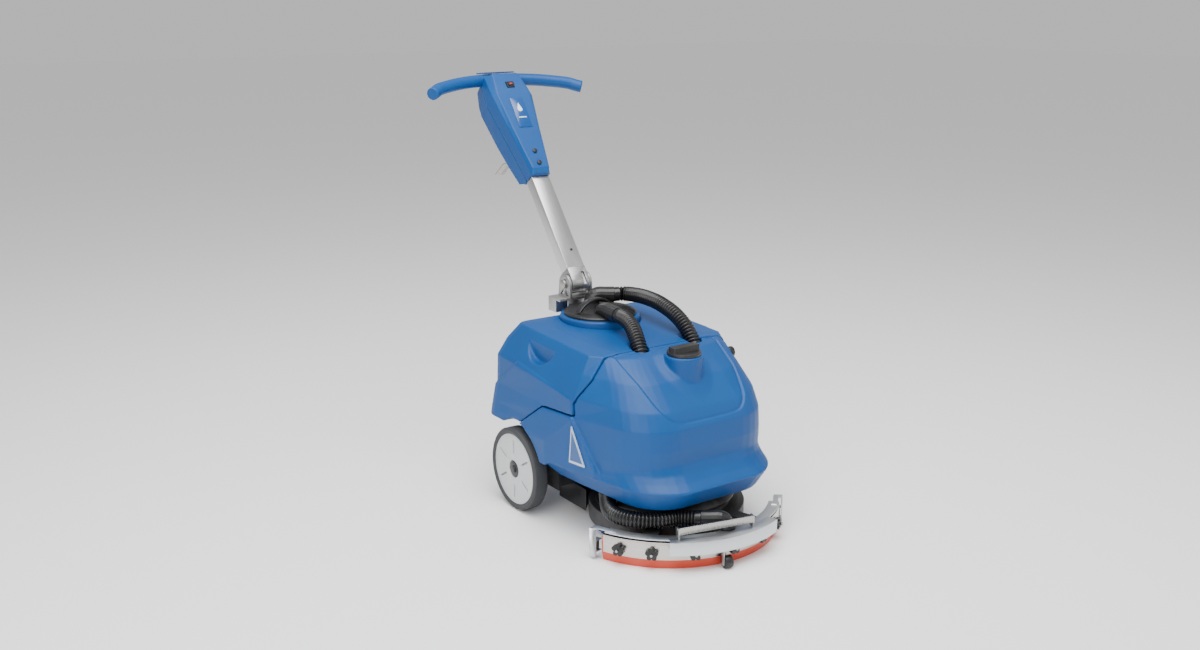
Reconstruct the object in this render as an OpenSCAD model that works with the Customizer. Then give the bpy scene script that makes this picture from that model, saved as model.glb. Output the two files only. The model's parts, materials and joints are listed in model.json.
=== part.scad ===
// Compact walk-behind floor scrubber: a disc brush, a swinging arc squeegee, two drive wheels,
// a solution tank in the front shell, a recovery tank behind it and a folding control handle.
// The frame stands on the floor in the middle of the footprint: +X right, +Y to the operator, +Z up.

/* [Wheels] */
// Diameter of a drive wheel
wheel_d = 200; // [180:1:220]
// Width of a tyre
tyre_w = 40; // [30:1:48]
// Width over both tyres
wheel_span = 516; // [500:1:600]
// Diameter of the steel axle
axle_d = 20; // [14:1:25]
// Distance of the axle behind the middle of the footprint
axle_y = 20; // [0:1:30]

/* [Body] */
// Width of the body at the tank seam
body_w = 458; // [420:1:480]
// Height of the tank top
body_h = 434; // [420:1:500]
// Reach of the skirt in front of the axle
nose_reach = 476; // [450:1:520]
// Reach of the tail behind the axle
tail_reach = 134; // [128:1:150]
// Wall of the moulded shells
shell_t = 5; // [3:0.5:7]
// Gap between the front shell and the tank
seam_gap = 3; // [2:0.5:5]
// Diameter of the filler cap
cap_d = 77; // [66:1:80]

/* [Recovery lid] */
// Diameter of the blue collar
collar_d = 194; // [180:1:196]
// Diameter of the black lid
lid_d = 176; // [160:1:180]
// Diameter of a suction hose
hose_d = 38; // [30:1:40]

/* [Brush deck] */
// Distance from the axle forward to the brush shaft
deck_reach = 262; // [256:1:290]
// Diameter of the brush
brush_d = 340; // [280:1:344]
// Length of the bristles
bristle_h = 28; // [20:1:32]
// Outer diameter of the deck housing
deck_d = 360; // [352:1:366]
// Diameter of the brush drive shaft
shaft_d = 20; // [14:1:25]

/* [Squeegee] */
// Radius of the rear blade's lip
lip_r = 250; // [240:1:254]
// Half of the angle that the blades span
blade_half = 58; // [50:1:60]
// Height of the strap that holds the blade
strap_h = 38; // [34:1:40]
// Angle by which the squeegee is swung at rest
swing_rest = -12; // [-20:1:0]
// Diameter of a star knob
knob_d = 30; // [24:1:34]

/* [Handle] */
// Height of the fold pivot above the tank top
pivot_rise = 65; // [60:1:80]
// Distance of the fold pivot behind the axle
pivot_y = 114; // [112:1:118]
// Angle of the handle above the floor
handle_angle = 52; // [40:1:70]
// Length from the pivot to the grip bar
handle_len = 598; // [590:1:700]
// Width of the handle tube
tube_w = 50; // [40:1:52]
// Depth of the handle tube
tube_t = 32; // [25:1:36]
// Width over the two grips
grip_w = 444; // [380:1:500]
// Diameter of a grip
grip_d = 32; // [26:1:38]
// Diameter of the fold pivot bolt
bolt_d = 12; // [8:1:16]

/* [Hidden] */

$fn = 64;
// Running clearance of a shaft in its bore, on the radius
run = 0.05;
// Clearance between pieces that are only bolted or laid together
fit = 0.3;
wheel_r = wheel_d / 2;
wheel_x = (wheel_span - tyre_w) / 2;
bw = body_w / 2;
arch_r = wheel_r + 18;
arch_x = wheel_x - tyre_w / 2 - 10;
fork_x = arch_x - 8;
seam_y = -241;
lid_y = 8;
cap_y = -319;
boss_z = body_h - 16;
pivot_z = body_h + pivot_rise;
side_y = -215;
knob_x = bw - 60;
hose_r = hose_d / 2;
socket_r = hose_r + 1.5;
deck_r = deck_d / 2;
deck_z = 62;
collar_z = body_h + 10;
ring_r = 150;
arm_z = deck_z + fit;
plate_z = arm_z + 4 + fit;
knuckle_r = 26;
cheek_x = tube_w / 2 + 2;
mast_front = lid_y + collar_d / 2 + 2;
knob_angles = [-48, -32, -12, 8, 27, 45];

// Rings of the upper body: front z, rear z, front y, rear y, front half width, rear half width,
// front corner, rear corner, how far the nose bulges, and half width where the nose starts.
upper_rings = [
    [184, 203, 63 - nose_reach, tail_reach, bw - 54, bw + 16, 90, 30, 12, bw + 2],
    [212, 215, 63 - nose_reach, tail_reach, bw - 51, bw + 14, 90, 30, 12, bw + 1],
    [240, 240, 61 - nose_reach, tail_reach, bw - 53, bw + 9, 88, 30, 12, bw],
    [285, 285, 65 - nose_reach, tail_reach - 1, bw - 54, bw, 85, 30, 12, bw - 1],
    [322, 352, 86 - nose_reach, tail_reach - 2, bw - 60, bw - 2, 75, 30, 12, bw - 5],
    [body_h - 60, body_h - 42, 134 - nose_reach, tail_reach - 12, bw - 76, bw - 25, 62, 28, 10,
        bw - 25],
    [body_h - 17, body_h - 3, 196 - nose_reach, tail_reach - 44, bw - 98, bw - 44, 50, 25, 4, bw - 44],
    [body_h - 13, body_h, 212 - nose_reach, tail_reach - 74, bw - 118, bw - 89, 30, 20, 2, bw - 89]
];
// Rings of the skirt, in the same order.
skirt_rings = [
    [112, 112, 56 - nose_reach, -110, bw - 59, bw - 29, 80, 10, 21, bw - 37],
    [158, 158, 30 - nose_reach, -110, bw - 49, bw + 20, 85, 10, 30, bw + 2],
    [162, 162, 32 - nose_reach, -110, bw - 51, bw + 18, 85, 10, 30, bw + 1],
    [174, 174, 46 - nose_reach, -110, bw - 53, bw + 16, 87, 10, 22, bw + 1],
    [188, 188, 57 - nose_reach, -110, bw - 55, bw + 14, 90, 10, 16, bw + 1],
    [206, 206, 63 - nose_reach, -110, bw - 54, bw + 12, 90, 10, 12, bw + 1]
];
// Route of the hose from the lid's front elbow to its socket.
front_route = [
    [-29, -110, 466], [-33, -145, 464], [-41, -180, 455], [-52, -212, 438], [-61, -239, 412],
    [-62, -243, 394]
];
// Route of the hose from the lid's rear elbow to its socket.
rear_route = [
    [60, 35, 476], [84, 20, 477], [93, -25, 480], [92, -72, 481], [90, -115, 478],
    [89, -170, 465], [90, -213, 441], [89, -240, 412], [88, -244, 394]
];
// Route of the hose from inside the shell to the squeegee outlet, from the brush shaft.
lower_route = [
    [-152, 30, 146], [-155, 24, 118], [-163, 6, 94], [-185, -34, 86], [-194, -76, 87],
    [-178, -120, 89], [-142, -150, 89], [-98, -166, 89], [-57.4, -195.3, 89]
];
// Foot of the squeegee outlet, from the brush shaft.
outlet = [-12, -228, 64];

// ---- helpers ----

module at_axle() translate([0, axle_y, 0]) children();
module at_deck() translate([0, axle_y - deck_reach, 0]) children();
module at_squeegee() at_deck() rotate([0, 0, swing_rest]) children();
module in_handle() translate([0, axle_y + pivot_y, pivot_z]) rotate([handle_angle - 90, 0, 0]) children();

// A rod along X, from x0 to x1.
module rod_x(d, x0, x1) translate([x0, 0, 0]) rotate([0, 90, 0]) cylinder(d = d, h = x1 - x0);

// A round pipe from a to b.
module pipe(a, b, r) translate(a)
    rotate([0, acos((b[2] - a[2]) / norm(b - a)), atan2(b[1] - a[1], b[0] - a[0])])
        cylinder(r = r, h = norm(b - a), $fn = 48);
// An arc of rectangular section, its angles counted from straight ahead towards +X.
module arc_band(r0, r1, z0, z1, a0, a1)
    rotate([0, 0, a0 - 90])
        rotate_extrude(angle = a1 - a0, $fn = 180) translate([r0, z0]) square([r1 - r0, z1 - z0]);

// Places children on the squeegee's arc, at radius r, facing outwards along -Y.
module on_arc(a, r) rotate([0, 0, a]) translate([0, -r, 0]) children();

function corner(a, c, b, n) = [for (i = [0 : n]) let (t = i / n)
    (1 - t) * (1 - t) * a + 2 * t * (1 - t) * c + t * t * b];
function toward(p, q, d) = p + (q - p) * d / norm(q - p);
// Plan outline of a ring: a tapered nose, straight sides and rounded corners.
function plan(r) = let (
        fl = [-r[4], r[2]], fr = [r[4], r[2]], rr = [r[5], r[3]], rl = [-r[5], r[3]],
        ml = [-r[9], side_y], mr = [r[9], side_y]
    ) concat(
        corner(toward(fl, ml, r[6]), fl, toward(fl, fr, r[6]), 7),
        corner(toward(fr, fl, r[6]), fr, toward(fr, mr, r[6]), 7),
        [mr],
        corner(toward(rr, mr, r[7]), rr, toward(rr, rl, r[7]), 3),
        corner(toward(rl, rr, r[7]), rl, toward(rl, ml, r[7]), 3),
        [ml]
    );
// The outline pushed forward at the nose and lifted from the front height to the rear height.
function ring_points(r) = [for (p = plan(r)) let (
        front = max(0, min(1, 1 - (p[1] - r[2]) / r[6])),
        back = (p[1] - r[2]) / (r[3] - r[2])
    ) [p[0], p[1] - r[8] * front * (1 - pow(p[0] / r[4], 2)), r[0] + (r[1] - r[0]) * back]];
function inset(r, t, up) = [r[0] + up, r[1] + up, r[2] + t, r[3] - t, r[4] - t, r[5] - t,
    r[6] - t, r[7] - t, r[8], r[9] - t];
function inner_rings(rings, t) = let (last = len(rings) - 1)
    [for (i = [0 : last]) inset(rings[i], t, i == 0 ? t : (i >= last - 1 ? -t : 0))];

// A closed skin over a stack of outlines that all have the same number of points.
module loft(outlines) {
    n = len(outlines[0]);
    m = len(outlines);
    points = [for (o = outlines) each o];
    sides = [for (j = [0 : m - 2], i = [0 : n - 1]) let (k = (i + 1) % n)
        each [[j * n + i, (j + 1) * n + i, (j + 1) * n + k], [j * n + i, (j + 1) * n + k, j * n + k]]];
    lower = [[for (i = [0 : n - 1]) i]];
    upper = [[for (i = [n - 1 : -1 : 0]) (m - 1) * n + i]];
    polyhedron(points, concat(sides, lower, upper), convexity = 6);
}
module body_form(rings) loft([for (r = rings) ring_points(r)]);

function unit(v) = v / norm(v);
// Catmull-Rom curve through a route, with n steps to each stretch.
function through(p, n) = let (last = len(p) - 1) concat(
    [for (i = [0 : last - 1], s = [0 : n - 1]) let (
        t = s / n, a = p[max(i - 1, 0)], b = p[i], c = p[i + 1], d = p[min(i + 2, last)]
    ) b + (c - a) * t / 2 + (a * 2 - b * 5 + c * 4 - d) * t * t / 2
        + (b * 3 - a - c * 3 + d) * t * t * t / 2],
    [p[last]]);
function heading(p, i) = unit(p[min(i + 1, len(p) - 1)] - p[max(i - 1, 0)]);
// One side direction for each ring, carried along the route without twist.
function side_dirs(p, i, side) = let (t = heading(p, i), s = unit(side - (side * t) * t))
    i == len(p) - 1 ? [s] : concat([s], side_dirs(p, i + 1, s));
module tube_along(route, r, steps, sides) {
    p = through(route, steps);
    dirs = side_dirs(p, 0, [0.3, 0.2, 1]);
    loft([for (i = [0 : len(p) - 1]) let (s = dirs[i], u = cross(heading(p, i), s))
        [for (k = [0 : sides - 1]) p[i] + r * (cos(k * 360 / sides) * s - sin(k * 360 / sides) * u)]]);
}

// A pipe bend: up from the foot, round the corner and on to the end.
module elbow(foot, corner, end, r) tube_along([
    foot, foot * 0.4 + corner * 0.6, corner * 0.75 + end * 0.25, corner * 0.4 + end * 0.6, end
], r, 3, 16);

// ---- chassis ----

// Steel frame: two side plates for the axle, a battery shelf, a cross tube and a foot for the mast.
module chassis_frame() color("dimgray") at_axle() {
    difference() {
        union() {
            for (s = [-1, 1]) {
                translate([s * (fork_x - 3) - 3, -112, 70]) cube([6, 246, 60]);
                translate([s * 140 - 15, -104, 76]) cube([30, 16, 72]);
            }
            translate([-fork_x + 6, -104, 76]) cube([2 * fork_x - 12, 16, 30]);
            translate([-fork_x + 6, mast_front, 70]) cube([2 * fork_x - 12, 28, 30]);
            translate([-165, -230, 148]) cube([330, 134, 4]);
        }
        translate([0, 0, wheel_r]) rod_x(axle_d + 2 * fit, -fork_x - 1, fork_x + 1);
        translate([0, -deck_reach, 140]) cylinder(r = 64, h = 20);
        translate([lower_route[0][0], lower_route[0][1] - deck_reach, 140])
            cylinder(r = hose_r + 5, h = 20);
    }
}
// Moulded tray under the frame, cut round to clear the deck.
module chassis_tray() color([0.09, 0.09, 0.1]) at_axle() difference() {
    translate([-152, -158, 22]) cube([304, 118, 54 - fit]);
    translate([0, -deck_reach, 0]) cylinder(r = deck_r + 6, h = 100);
    translate([-146, -152, 28]) cube([292, 106, 60]);
}
module wheel_axle() color("silver") at_axle() translate([0, 0, wheel_r])
    rod_x(axle_d, -wheel_x - 12, wheel_x + 12);
module battery(s) color([0.2, 0.2, 0.22]) at_axle() {
    translate([s * 84 - 78, -203, 152 + fit]) cube([156, 107, 96]);
    for (x = [-50, 50]) translate([s * 84 + x, -150, 248 + fit]) cylinder(d = 14, h = 12, $fn = 24);
}
module battery_left() battery(-1);
module battery_right() battery(1);

// ---- brush deck ----

// Round steel housing over the brush, with the collar that the squeegee ring turns on.
module deck_housing() color([0.07, 0.07, 0.08]) at_deck() difference() {
    rotate_extrude($fn = 120) polygon([
        [20, deck_z - 4], [deck_r - 5, deck_z - 4], [deck_r - 5, 20], [deck_r, 20],
        [deck_r, deck_z], [ring_r, deck_z], [ring_r, deck_z + 12], [ring_r - 10, deck_z + 12],
        [ring_r - 10, deck_z], [20, deck_z]
    ]);
    cylinder(d = shaft_d + 8, h = 100);
}
// Moulded cover over the gear motor.
module deck_cover() color([0.06, 0.06, 0.07]) at_deck() difference() {
    rotate_extrude($fn = 96) polygon([
        [100, deck_z + fit], [ring_r - 10 - fit, deck_z + fit], [ring_r - 10 - fit, deck_z + 16],
        [ring_r + 6, deck_z + 16], [ring_r + 6, deck_z + 22], [ring_r - 20, 112], [118, 132],
        [90, 143], [64, 144], [64, 139], [88, 138], [114, 127], [124, 112], [128, deck_z + 20],
        [128, deck_z + 6], [100, deck_z + 6]
    ]);
    at_port();
}
// Notch in the cover that keeps clear of the suction hose.
module at_port() for (p = [lower_route[1], lower_route[2]]) translate([p[0], p[1], 70])
    cylinder(r = hose_r + 6, h = 100);
module gear_motor() color([0.25, 0.25, 0.27]) at_deck() difference() {
    union() {
        translate([0, 0, deck_z + fit]) cylinder(d = 150, h = 50);
        translate([0, 0, deck_z + 50]) cylinder(d = 116, h = 92);
    }
    translate([0, 0, deck_z - 1]) cylinder(d = shaft_d + 2 * run, h = 41);
}
module drive_shaft() color("silver") at_deck() translate([0, 0, bristle_h + 2])
    cylinder(d = shaft_d, h = deck_z + 30 - bristle_h);
module brush_block() color([0.12, 0.2, 0.45]) at_deck() difference() {
    union() {
        translate([0, 0, bristle_h]) cylinder(d = brush_d, h = 16, $fn = 96);
        translate([0, 0, bristle_h + 16]) cylinder(d = 90, h = 8);
    }
    translate([0, 0, bristle_h + 2]) cylinder(d = shaft_d, h = 40);
    translate([0, 0, bristle_h - 1]) cylinder(d = 12, h = 10);
}
module brush_bristles() color([0.1, 0.25, 0.55]) at_deck() difference() {
    cylinder(d = brush_d - 6, h = bristle_h, $fn = 96);
    translate([0, 0, -1]) cylinder(d = 110, h = bristle_h + 2);
}

// ---- shells ----

// Side view of the recovery tank, grown or shrunk by t.
function tank_side(t) = [
    [seam_y + t, body_h + 60], [seam_y + t, body_h - 62], [-212 + t, body_h - 119 + t / 2],
    [-217 + t, 290 + t],
    [-95, 280 + t], [4 + t / 2, 208 + t], [4 + t / 2, 150], [tail_reach + 60, 150],
    [tail_reach + 60, body_h + 60]
];
module side_cut(outline) translate([-400, 0, 0]) rotate([90, 0, 90]) linear_extrude(800) polygon(outline);
// The two wheel arches, of radius r and from x outwards.
module arches(r, x) translate([0, 0, wheel_r]) {
    rod_x(2 * r, x, 400);
    rod_x(2 * r, -400, -x);
}
// The way of one hose into the body: straight up from z, then back along the last of its route.
module hose_way(end, a, b, r, z) {
    translate([(end[0] + a[0]) / 2, (end[1] + a[1]) / 2, z]) cylinder(r = r, h = 80);
    pipe(a, b, r);
}
module hose_sockets(r, z) {
    hose_way(front_route[5], front_route[4], front_route[2], r, z);
    hose_way(rear_route[8], rear_route[7], rear_route[5], r, z);
}
// Finger recess under the top edge on each side of the tank, or the wall round it with t more.
module hand_recesses(t) for (s = [-1, 1]) translate([s * (bw - 34 - t), -42, body_h - 12]) difference() {
    rotate([0, s * 90, 0]) cylinder(r = 60 + t, h = 80);
    translate([-100, -100, t - 12]) cube(200);
}
// Raised flank in front of each wheel, with a slanted front edge and an outer face that leans in.
module arch_boss(s) intersection() {
    rotate([90, 0, 0]) translate([0, 0, -4]) linear_extrude(340)
        polygon([[s * 180, 150], [s * (bw + 22), 150], [s * (bw + 22), 205], [s * (bw + 3), 292],
            [s * 180, 292]]);
    side_cut([[-304, 160], [-208, 295], [-95, 283], [4, 210], [4, 150], [-118, 140], [-142, 160]]);
    translate([0, 0, 100]) linear_extrude(300)
        polygon([[s * 180, 4], [s * (bw + 23), 4], [s * (bw + 21), -130], [s * (bw - 8), -288],
            [s * (bw - 26), -304], [s * 180, -304]]);
}
module front_shell() color([0.04, 0.42, 0.76]) at_axle() difference() {
    union() {
        difference() {
            union() {
                body_form(upper_rings);
                body_form(skirt_rings);
                for (s = [-1, 1]) arch_boss(s);
                translate([0, cap_y, 330]) cylinder(d = cap_d + 9, h = boss_z - 330);
            }
            side_cut(tank_side(-seam_gap));
            arches(arch_r, arch_x);
            translate([-arch_x, -118, 0]) cube([2 * arch_x, 300, 205]);
            translate([-300, 0, 0]) cube([600, 300, 205]);
            front_cavity();
        }
        intersection() {
            hose_sockets(socket_r + 4, 380);
            body_form(inner_rings(upper_rings, 1));
            translate([-400, -400, 0]) cube([800, 400 + seam_y - seam_gap, 600]);
        }
        translate([knob_x - 46, -268, body_h - 52]) rod_x(32, 0, 46);
    }
    hose_sockets(socket_r, 388);
    translate([0, cap_y, boss_z - 78]) cylinder(d = cap_d - 17, h = 120);
    translate([knob_x - 52, -268, body_h - 52]) rod_x(8 + 2 * run, 0, 60);
    translate([knob_x, -268, body_h - 52]) rod_x(30, 0, 60);
    translate([0, cap_y, boss_z]) cylinder(d = cap_d + 4, h = 60);
    lower_pocket();
}
// The water space in the front of the shell.
module front_cavity() intersection() {
    body_form(inner_rings(upper_rings, shell_t));
    translate([-400, -600, 214]) cube([800, 600 + seam_y - 11, 400]);
}
// The open space under the shell for the deck and the batteries.
module lower_pocket() {
    body_form([
        inset(skirt_rings[0], shell_t, -10), inset(skirt_rings[0], shell_t, 0),
        inset(skirt_rings[1], shell_t, 0), inset(skirt_rings[3], shell_t, 0),
        inset(skirt_rings[4], shell_t, 0), inset(skirt_rings[5], shell_t + 4, 0)
    ]);
    translate([-180, 0, 0]) rotate([90, 0, 90]) linear_extrude(360)
        polygon([[-236, 190], [-236, 270], [-98, 270], [-12, 207], [-12, 190]]);
}
module recovery_tank() color([0.04, 0.42, 0.76]) at_axle() difference() {
    union() {
        difference() {
            intersection() {
                body_form(upper_rings);
                side_cut(tank_side(0));
            }
            difference() {
                intersection() {
                    body_form(inner_rings(upper_rings, shell_t));
                    side_cut(tank_side(shell_t));
                    translate([-400, -400, 0]) cube([800, 400 + tail_reach - shell_t, 700]);
                }
                arches(arch_r + shell_t, arch_x - shell_t);
                translate([-400, 4, 0]) cube([800, 400, 208 + shell_t]);
                translate([-40, mast_front - 8, 0]) cube([80, 100, 700]);
            }
        }
        intersection() {
            translate([0, lid_y, body_h - 30]) cylinder(d = collar_d + 12, h = 60, $fn = 96);
            body_form(inner_rings(upper_rings, 1));
            side_cut(tank_side(0));
        }
        intersection() {
            hand_recesses(shell_t);
            body_form(inner_rings(upper_rings, 1));
        }
        intersection() {
            hose_sockets(socket_r + 4, 380);
            body_form(inner_rings(upper_rings, 1));
            translate([-400, seam_y, 0]) cube([800, 300, 600]);
        }
    }
    arches(arch_r, arch_x);
    hose_sockets(socket_r, 388);
    hand_recesses(0);
    translate([0, lid_y, body_h - 60]) cylinder(r = lid_d / 2 - 10, h = 100, $fn = 96);
    translate([0, lid_y, body_h - 22]) cylinder(r = collar_d / 2 + fit, h = 100, $fn = 96);
    translate([-34, mast_front - 3, 0]) cube([68, 200, 700]);
}
module tank_collar() color([0.05, 0.45, 0.8]) at_axle() translate([0, lid_y, 0])
    rotate_extrude($fn = 96) polygon([
        [lid_d / 2 - 9, body_h - 22], [collar_d / 2, body_h - 22], [collar_d / 2, collar_z - 3],
        [collar_d / 2 - 3, collar_z], [lid_d / 2 - 9, collar_z]
    ]);
module lid_gasket() color([0.03, 0.03, 0.03]) at_axle() translate([0, lid_y, collar_z])
    difference() {
        cylinder(r = lid_d / 2 - 1, h = 2);
        translate([0, 0, -1]) cylinder(r = lid_d / 2 - 8, h = 4);
    }
module tank_lid() color([0.07, 0.07, 0.08]) at_axle() translate([0, lid_y, collar_z + 2])
    rotate_extrude($fn = 96) polygon([
        [0, -14], [lid_d / 2 - 10, -14], [lid_d / 2 - 10, 0], [lid_d / 2, 0], [lid_d / 2, 3],
        [lid_d / 2 - 5, 6], [lid_d / 2 - 22, 10], [0, 12]
    ]);
// Arched carrying strap over the middle of the lid.
module lid_handle() color([0.08, 0.08, 0.09]) at_axle() translate([-18, 6, collar_z + 10])
    rotate([90, 0, 10]) translate([0, -46, -9]) linear_extrude(18) difference() {
        circle(r = 76, $fn = 96);
        circle(r = 71, $fn = 96);
        translate([-100, -100]) square([200, 150]);
    }
module lid_elbow_front() color([0.08, 0.08, 0.09]) at_axle()
    elbow([-21, -34, collar_z + 6], [-21, -34, 466], front_route[0], hose_r);
module lid_elbow_rear() color([0.08, 0.08, 0.09]) at_axle()
    elbow([14, 63, collar_z + 6], [14, 63, 476], rear_route[0], hose_r);
module hose_front() color([0.05, 0.05, 0.05]) at_axle() tube_along(front_route, hose_r - 1, 3, 12);
module hose_rear() color([0.05, 0.05, 0.05]) at_axle() tube_along(rear_route, hose_r - 1, 3, 12);
module suction_hose() color([0.05, 0.05, 0.05]) at_deck() tube_along(lower_route, hose_r, 3, 12);

module filler_cap() color([0.07, 0.07, 0.08]) at_axle() translate([0, cap_y, boss_z]) {
    translate([0, 0, fit]) cylinder(d = cap_d, h = 7);
    translate([0, 0, -18]) cylinder(d = cap_d - 18, h = 20);
    intersection() {
        translate([-cap_d / 2 + 2, -11, 7]) cube([cap_d - 4, 22, 13]);
        translate([0, 0, 7]) cylinder(d = cap_d - 4, h = 13);
    }
}
module flow_knob() color([0.06, 0.06, 0.07]) at_axle() translate([0, -268, body_h - 52]) {
    rod_x(8, knob_x - 40, knob_x + 2);
    rod_x(26, knob_x + fit, knob_x + 14);
}
// Suction fan under the tank floor, behind the batteries.
module vacuum_motor() color([0.3, 0.3, 0.32]) at_axle() translate([0, -48, 128]) {
    cylinder(d = 92, h = 40);
    translate([0, 0, 40]) cylinder(d = 78, h = 36);
}

// ---- handle ----

module rear_mast() color("gainsboro") at_axle() difference() {
    translate([-28, mast_front + fit, 100]) cube([56, 27, 362 - fit]);
    translate([-25, mast_front + 3, 99]) cube([50, 21, 400]);
}
// Cast clevis: a base plate and two cheeks, each with a window, for the fold pivot.
module handle_bracket() color("silver") at_axle() difference() {
    union() {
        translate([-62, pivot_y - 24, pivot_z - 37]) cube([124, 52, 6]);
        for (s = [-1, 1]) {
            translate([s * (cheek_x + 3) - 3, 0, 0]) cheek();
        }
        translate([-62, mast_front + 1, body_h - 2]) cube([124, 34, 34]);
    }
    translate([-28 - fit, mast_front, 0]) cube([56 + 2 * fit, 28, pivot_z - 37]);
    translate([0, pivot_y, pivot_z]) rod_x(bolt_d + 2 * fit, -60, 60);
}
module cheek() rotate([90, 0, 90]) linear_extrude(6) difference() {
    union() {
        translate([pivot_y, pivot_z]) circle(r = 24);
        polygon([[pivot_y - 24, pivot_z], [pivot_y - 26, pivot_z - 34], [pivot_y + 28, pivot_z - 34],
            [pivot_y + 24, pivot_z]]);
    }
    polygon([[pivot_y - 4, pivot_z - 12], [pivot_y - 18, pivot_z - 28], [pivot_y - 4, pivot_z - 28]]);
    polygon([[pivot_y + 5, pivot_z - 12], [pivot_y + 5, pivot_z - 28], [pivot_y + 19, pivot_z - 28]]);
}
module pivot_bolt() color("silver") at_axle() translate([0, pivot_y, pivot_z]) {
    rod_x(bolt_d, -cheek_x - 6 - fit, cheek_x + 6 + fit);
    for (s = [-1, 1]) translate([s * (cheek_x + 9 + fit), 0, 0]) rod_x(22, -3, 3);
}
// Cast foot of the handle: a drum on the pivot bolt and a plug for the tube.
module handle_knuckle() color("silver") in_handle() difference() {
    union() {
        rod_x(2 * knuckle_r, -tube_w / 2, tube_w / 2);
        translate([-tube_w / 2, -knuckle_r, 0]) cube([tube_w, 2 * knuckle_r - 14, 30]);
        translate([-tube_w / 2 + 3, -22, 30]) cube([tube_w - 6, tube_t - 6, 30]);
    }
    rod_x(bolt_d + 2 * run, -60, 60);
    translate([12, -knuckle_r - 1, 0]) rotate([-90, 0, 0]) cylinder(d = 9, h = 8);
    translate([7.5, -knuckle_r - 1, -16]) cube([9, 8, 32]);
}
module handle_tube() color("gainsboro") in_handle() difference() {
    translate([-tube_w / 2, -25, 30 + fit]) cube([tube_w, tube_t, 390]);
    translate([-tube_w / 2 + 2.5, -22.5, 20]) cube([tube_w - 5, tube_t - 5, 500]);
}

// Outline of the console at height u along the handle: front half width, front depth, middle half
// width, middle depth, rear half width and rear depth.
function console_outline(u, hf, vf, hm, vm, hr, vr, t) = [
    [-hf + t, -vf + t, u], [hf - t, -vf + t, u], [hm - t, -vm, u], [hm - t, -8, u],
    [hr - t, vr - t, u], [-hr + t, vr - t, u], [-hm + t, -8, u], [-hm + t, -vm, u]
];
function console_rings(t) = [
    console_outline(291 + t, 21, 37, 27, 30, 25, 34, t), console_outline(306, 24, 43, 29, 32, 27, 38, t),
    console_outline(353, 30, 44, 35, 34, 33, 44, t), console_outline(423, 38, 46, 45, 36, 42, 49, t),
    console_outline(521, 48, 50, 59, 39, 52, 52, t), console_outline(549, 44, 49, 58, 34, 50, 50, t),
    console_outline(588 - t, 36, 44, 52, 26, 44, 42, t)
];
module console_half(front) intersection() {
    difference() {
        loft(console_rings(0));
        loft(console_rings(4));
        translate([-tube_w / 2 - fit, -25 - fit, 280]) cube([tube_w + 2 * fit, tube_t + 2 * fit, 145]);
        translate([-16, 20, 350]) cube([32, 60, 52]);
        translate([-60, 0, 0]) rotate([90, 0, 90]) linear_extrude(120)
            polygon([[12, 280], [60, 280], [60, 312], [34, 304], [16, 293]]);
        translate([-11, -60, 541]) cube([22, 28, 17]);
    }
    translate([-100, front ? -100 : 0.5, 200]) cube([200, front ? 99.5 : 100, 500]);
}
module console_front() color([0.04, 0.42, 0.76]) in_handle() console_half(true);
module console_rear() color([0.03, 0.36, 0.68]) in_handle() difference() {
    union() {
        console_half(false);
        for (s = [-1, 1]) translate([s * 18 - 2, 20, 364]) cube([4, 23, 16]);
    }
    translate([0, 28, 372]) rod_x(7 + 2 * run, -30, 30);
}
module handle_screws() color([0.1, 0.1, 0.1]) in_handle() {
    for (u = [319, 353]) translate([-1, -44.4, u]) rotate([90, 0, 0]) cylinder(d = 12, h = 3);
    translate([6, -25, 78]) rotate([90, 0, 0]) cylinder(d = 7, h = 1.5);
}
module console_label() color([0.02, 0.3, 0.66]) in_handle()
    translate([-19, -47.5, 423]) rotate([2.4, 0, 0]) cube([38, 1.2, 84]);
module switch_frame() color([0.03, 0.03, 0.03]) in_handle() translate([0, 0, 541]) difference() {
    translate([-10.5, -52, 0.5]) cube([21, 18, 16]);
    translate([-8, -60, 3]) cube([16, 30, 11]);
}
module power_switch() color([0.7, 0.1, 0.08]) in_handle() translate([-7.5, -50, 549.5]) {
    rotate([0, 90, 0]) cylinder(d = 9, h = 15, $fn = 48);
    translate([0, -4, -3.5]) cube([15, 6, 7]);
}
// Bent strip that frees the fold lock, on a cross pin inside the console.
module release_lever() color("silver") in_handle() {
    translate([0, 28, 372]) rod_x(7, -20, 20);
    translate([-13, 0, 0]) rotate([90, 0, 90]) linear_extrude(26)
        polygon([[28, 370.6], [96, 399], [148, 399], [148, 402], [95, 402], [28, 373.8]]);
}
// Swept grip bar: a middle block on the console and two grips that come forward at their ends.
module grip_bar() color([0.04, 0.42, 0.76]) at_axle() {
    half = grip_w / 2;
    z = pivot_z + handle_len * sin(handle_angle);
    y = pivot_y + handle_len * cos(handle_angle);
    tube_along([
        [-half, y - 66, z - 23], [-half + 14, y - 56, z - 19], [-half + 38, y - 42, z - 12],
        [-half + 120, y - 14, z - 3], [0, y, z], [half - 120, y - 14, z - 3],
        [half - 38, y - 42, z - 12], [half - 14, y - 56, z - 19], [half, y - 66, z - 23]
    ], grip_d / 2, 4, 16);
}
module top_plate() color([0.05, 0.15, 0.3]) at_axle()
    translate([0, pivot_y + handle_len * cos(handle_angle), pivot_z + handle_len * sin(handle_angle)])
        rotate([-8, 0, 0]) translate([0, 0, grip_d / 2 + fit]) linear_extrude(3)
            polygon([[-58, 2], [-44, -14], [44, -14], [58, 2], [44, 14], [-44, 14]]);

// ---- wheels ----

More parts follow.
